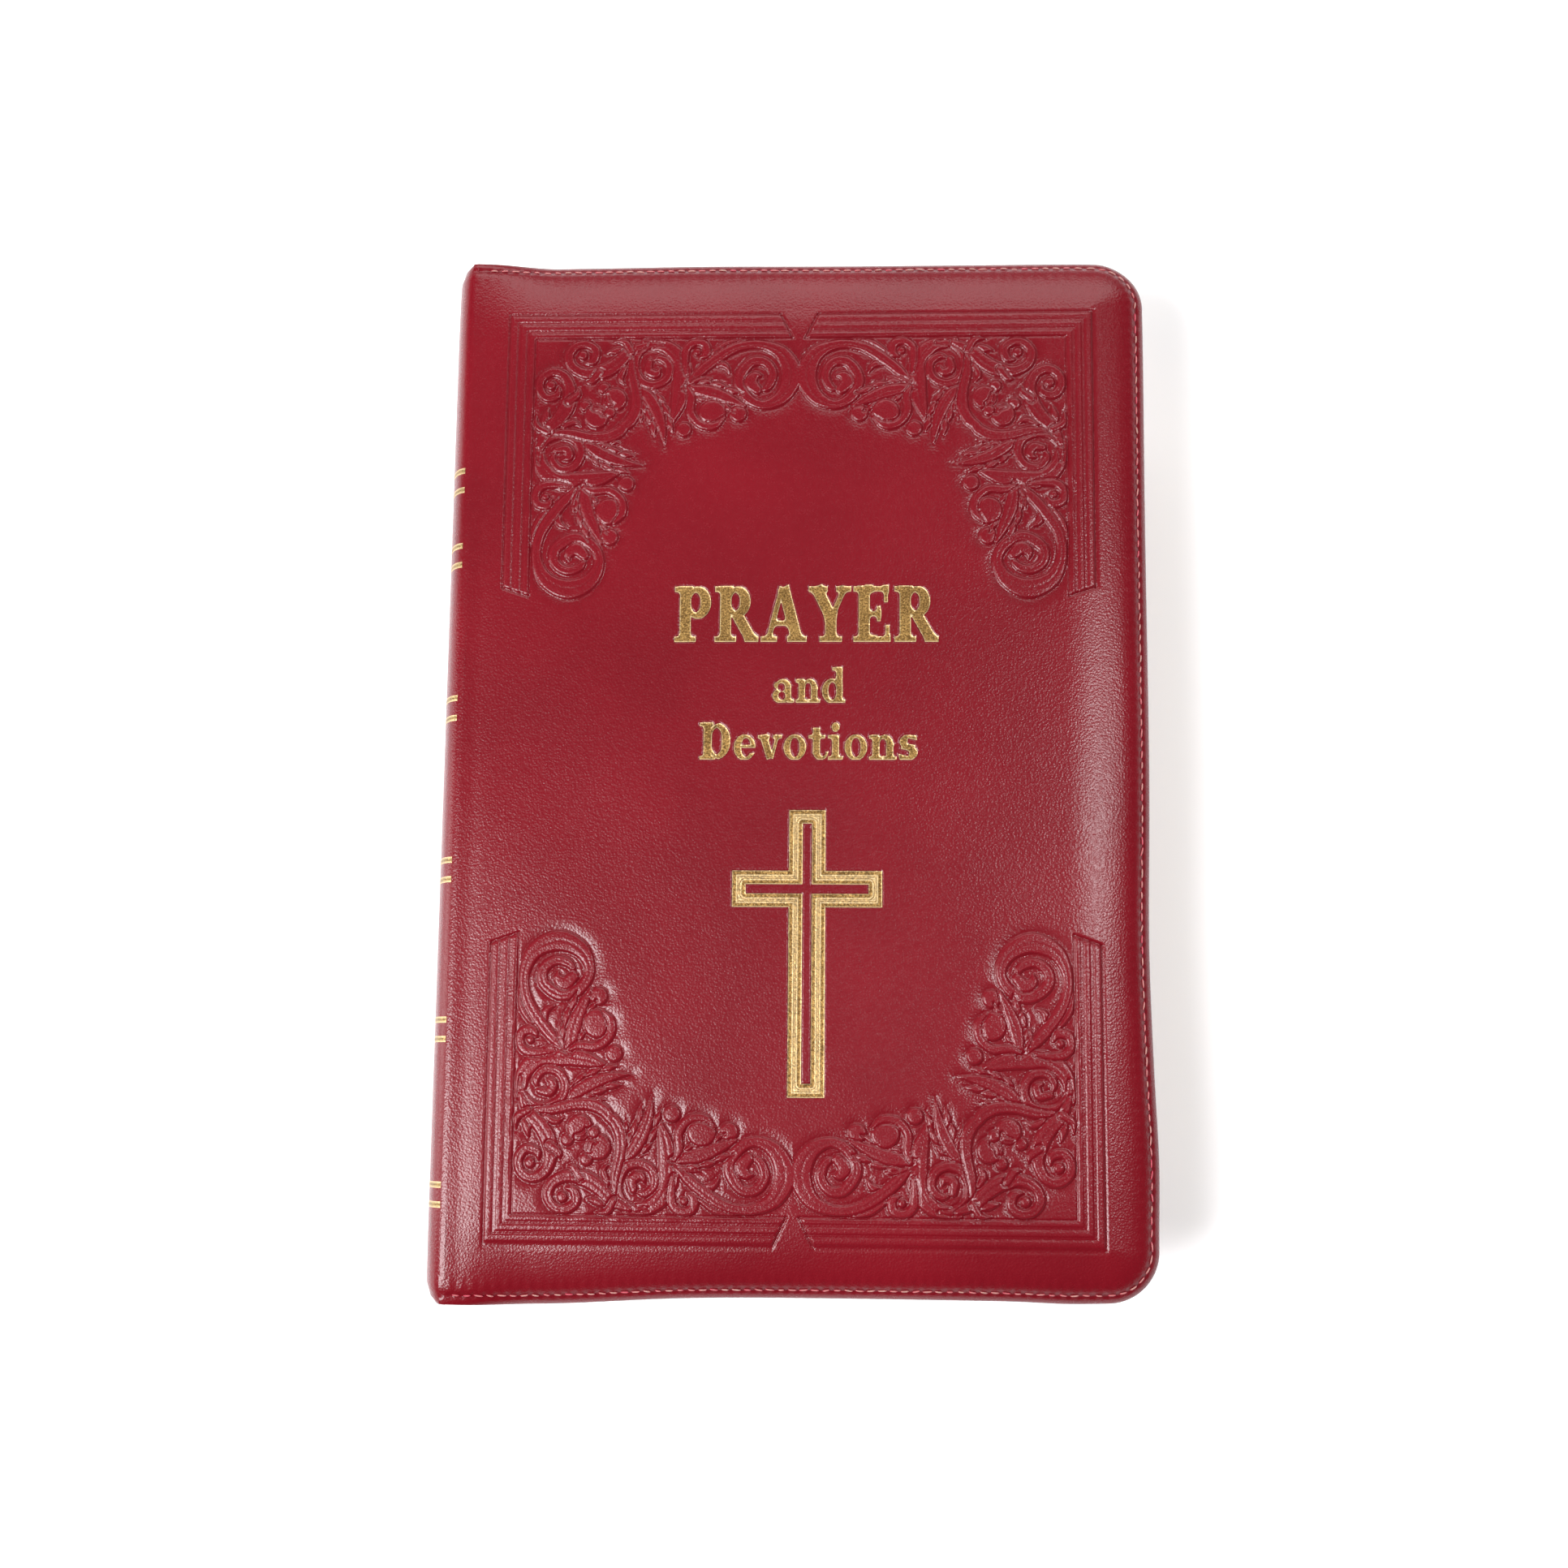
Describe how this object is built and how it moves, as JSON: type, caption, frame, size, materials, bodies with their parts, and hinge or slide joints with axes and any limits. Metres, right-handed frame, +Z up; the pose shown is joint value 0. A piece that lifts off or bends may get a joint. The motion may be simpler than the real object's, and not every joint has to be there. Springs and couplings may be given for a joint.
{
  "type": "leather-bound prayer book",
  "caption": "Limp leather-bound devotional book with rolled, edge-stitched covers hinged on a rounded spine, a sewn page block, turning leaves and a stamped gold cross.",
  "frame": {"origin": "middle of the book's footprint, on the surface that the back cover rests on", "axes": "+X from the spine to the fore-edge, +Y from the tail to the head, +Z up through the front cover"},
  "size_m": [0.155, 0.226, 0.0422],
  "materials": {
    "cover_leather": "fine-grained crimson leather, semi-gloss, blind embossed",
    "lining_leather": "thin smooth crimson lining",
    "board": "grey bookbinding board",
    "edge_thread": "pale rose sewing thread",
    "gold_foil": "stamped gold foil with a fine texture",
    "page_paper": "thin cream paper with gilt edges",
    "endpaper": "heavier plain endpaper",
    "binding_linen": "open-weave linen",
    "band_silk": "striped woven band"
  },
  "bodies": {
    "text_block": {"sewn_sections_1": "page_paper", "sewn_sections_2": "page_paper", "sewn_sections_3": "page_paper", "sewn_sections_4": "page_paper", "sewn_sections_5": "page_paper", "sewn_sections_6": "page_paper", "sewing_tape_1": "binding_linen", "sewing_tape_2": "binding_linen", "sewing_tape_3": "binding_linen", "spine_mull": "binding_linen", "spine_card": "board", "spine_leather": "cover_leather", "head_band": "band_silk", "tail_band": "band_silk"},
    "front_cover": {"front_cover_leather": "cover_leather", "front_cover_board": "board", "front_cover_lining": "lining_leather", "front_edge_thread": "edge_thread", "cross_foil": "gold_foil"},
    "back_cover": {"back_cover_leather": "cover_leather", "back_cover_board": "board", "back_cover_lining": "lining_leather", "back_edge_thread": "edge_thread"},
    "front_flyleaf": {"front_flyleaf": "endpaper"},
    "back_flyleaf": {"back_flyleaf": "endpaper"},
    "leaf_group_1": {"leaf_group_1": "page_paper"},
    "leaf_group_2": {"leaf_group_2": "page_paper"},
    "leaf_group_3": {"leaf_group_3": "page_paper"},
    "leaf_group_4": {"leaf_group_4": "page_paper"},
    "leaf_group_5": {"leaf_group_5": "page_paper"}
  },
  "joints": [
    {"name": "front_cover_hinge", "type": "hinge", "parent": "text_block", "child": "front_cover", "pos_m": [-0.0712, 0, 0.042], "axis": [0, -1, 0], "range_deg": [0, 178]},
    {"name": "back_cover_hinge", "type": "hinge", "parent": "text_block", "child": "back_cover", "pos_m": [-0.0712, 0, 0], "axis": [0, 1, 0], "range_deg": [0, 178]},
    {"name": "front_flyleaf_turn", "type": "hinge", "parent": "text_block", "child": "front_flyleaf", "pos_m": [-0.0712, 0, 0.042], "axis": [0, -1, 0], "range_deg": [0, 167.8]},
    {"name": "leaf_group_1_turn", "type": "hinge", "parent": "text_block", "child": "leaf_group_1", "pos_m": [-0.0712, 0, 0.042], "axis": [0, -1, 0], "range_deg": [0, 150]},
    {"name": "leaf_group_2_turn", "type": "hinge", "parent": "text_block", "child": "leaf_group_2", "pos_m": [-0.0712, 0, 0.042], "axis": [0, -1, 0], "range_deg": [0, 125.1]},
    {"name": "leaf_group_3_turn", "type": "hinge", "parent": "text_block", "child": "leaf_group_3", "pos_m": [-0.0712, 0, 0.042], "axis": [0, -1, 0], "range_deg": [0, 100.2]},
    {"name": "leaf_group_4_turn", "type": "hinge", "parent": "text_block", "child": "leaf_group_4", "pos_m": [-0.0712, 0, 0.042], "axis": [0, -1, 0], "range_deg": [0, 75.3]},
    {"name": "leaf_group_5_turn", "type": "hinge", "parent": "text_block", "child": "leaf_group_5", "pos_m": [-0.0712, 0, 0.042], "axis": [0, -1, 0], "range_deg": [0, 50.3]},
    {"name": "back_flyleaf_turn", "type": "hinge", "parent": "text_block", "child": "back_flyleaf", "pos_m": [-0.0712, 0, 0], "axis": [0, 1, 0], "range_deg": [0, 160.7]}
  ],
  "couplings": [
    {"joint": "front_flyleaf_turn", "follows": "front_cover_hinge", "ratio": 0.94},
    {"joint": "leaf_group_1_turn", "follows": "front_cover_hinge", "ratio": 0.84},
    {"joint": "leaf_group_2_turn", "follows": "front_cover_hinge", "ratio": 0.7},
    {"joint": "leaf_group_3_turn", "follows": "front_cover_hinge", "ratio": 0.56},
    {"joint": "leaf_group_4_turn", "follows": "front_cover_hinge", "ratio": 0.42},
    {"joint": "leaf_group_5_turn", "follows": "front_cover_hinge", "ratio": 0.28},
    {"joint": "back_flyleaf_turn", "follows": "back_cover_hinge", "ratio": 0.9}
  ]
}
